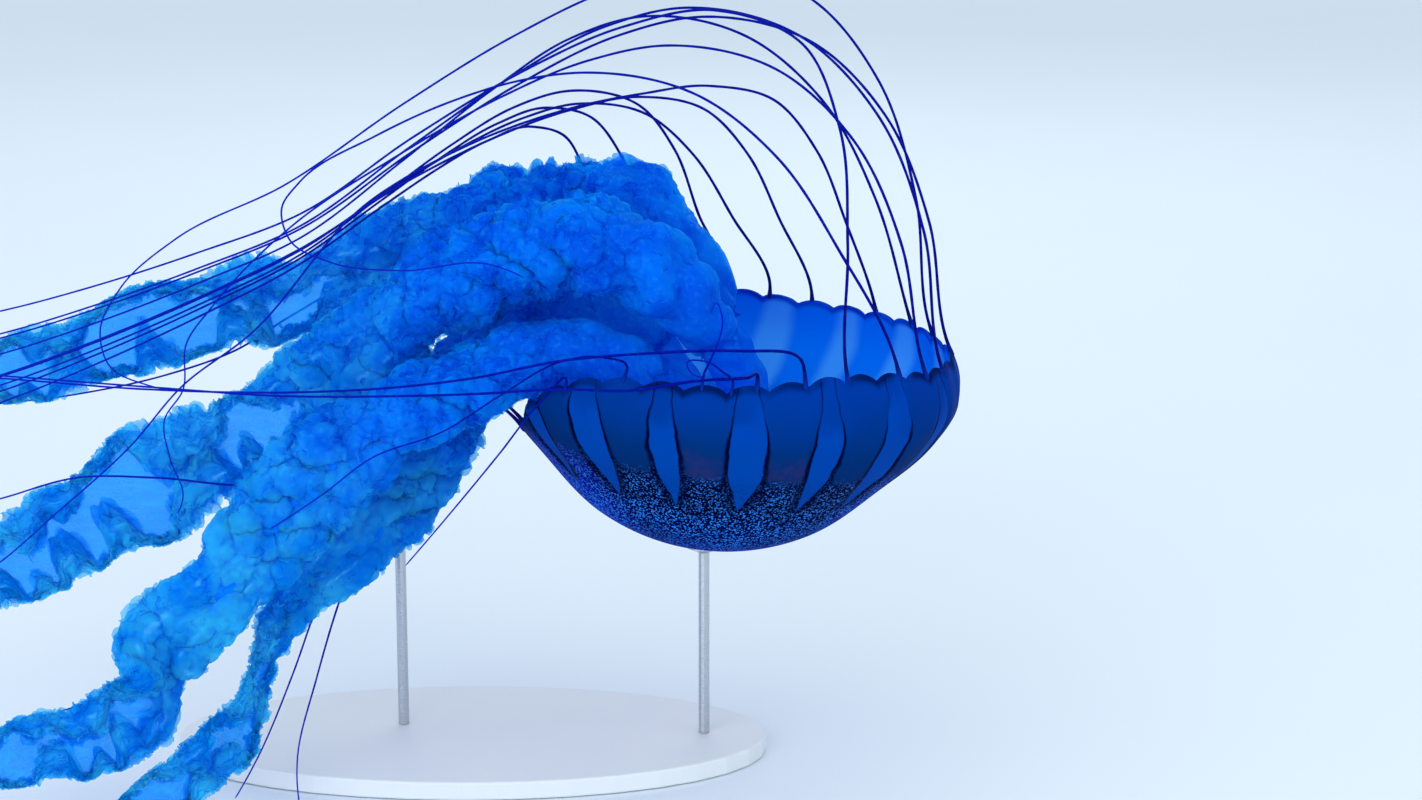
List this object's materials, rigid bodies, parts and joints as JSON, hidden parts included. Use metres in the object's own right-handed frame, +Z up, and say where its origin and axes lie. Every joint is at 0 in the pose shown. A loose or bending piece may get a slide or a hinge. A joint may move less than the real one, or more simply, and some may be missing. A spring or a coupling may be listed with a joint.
{
  "type": "jellyfish",
  "caption": "Sea nettle jellyfish model with an upturned banded bell, frilled oral arms and trailing thread-like tentacles, held up on a plain display stand.",
  "frame": {"origin": "the middle of the stand base's underside, on the surface it stands on", "axes": "+Z up; +X runs level along the base's long way, from the trailing arms towards the bell; +Y across the base"},
  "size_m": [0.7277, 0.3454, 0.5042],
  "materials": {
    "bell": "wet translucent jelly, dark bands and pale windows, speckled crown",
    "bell_rim": "wet translucent jelly, scalloped edge",
    "oral_arm": "thin translucent frills",
    "tentacle": "dark smooth threads",
    "stand_rod": "satin metal rod",
    "stand_base": "pale matt coating on aluminium"
  },
  "bodies": {
    "root": {"arm_lower_far": "oral_arm", "arm_lower_near": "oral_arm", "arm_middle_far": "oral_arm", "arm_middle_near": "oral_arm", "arm_outer_far": "oral_arm", "arm_outer_near": "oral_arm", "arm_upper_far": "oral_arm", "arm_upper_near": "oral_arm", "bell_dome": "bell", "bell_margin": "bell_rim", "mouth_stalk": "oral_arm", "stand_base": "stand_base", "stand_rod_arms": "stand_rod", "stand_rod_bell": "stand_rod", "tentacle_01_base": "tentacle", "tentacle_01_tail": "tentacle", "tentacle_02_base": "tentacle", "tentacle_02_tail": "tentacle", "tentacle_03_base": "tentacle", "tentacle_03_tail": "tentacle", "tentacle_04_base": "tentacle", "tentacle_04_tail": "tentacle", "tentacle_05_base": "tentacle", "tentacle_05_tail": "tentacle", "tentacle_06_base": "tentacle", "tentacle_06_tail": "tentacle", "tentacle_07_base": "tentacle", "tentacle_07_tail": "tentacle", "tentacle_08_base": "tentacle", "tentacle_08_tail": "tentacle", "tentacle_09_base": "tentacle", "tentacle_09_tail": "tentacle", "tentacle_10_base": "tentacle", "tentacle_10_tail": "tentacle", "tentacle_11_base": "tentacle", "tentacle_11_tail": "tentacle", "tentacle_12_base": "tentacle", "tentacle_12_tail": "tentacle", "tentacle_13_base": "tentacle", "tentacle_13_tail": "tentacle", "tentacle_14_base": "tentacle", "tentacle_14_tail": "tentacle", "tentacle_15_base": "tentacle", "tentacle_15_tail": "tentacle", "tentacle_16_base": "tentacle", "tentacle_16_tail": "tentacle", "tentacle_17_base": "tentacle", "tentacle_17_tail": "tentacle", "tentacle_18_base": "tentacle", "tentacle_18_tail": "tentacle", "tentacle_19_base": "tentacle", "tentacle_19_tail": "tentacle", "tentacle_20_base": "tentacle", "tentacle_20_tail": "tentacle", "tentacle_21": "tentacle", "tentacle_22": "tentacle", "tentacle_23": "tentacle", "tentacle_24": "tentacle"}
  },
  "joints": []
}
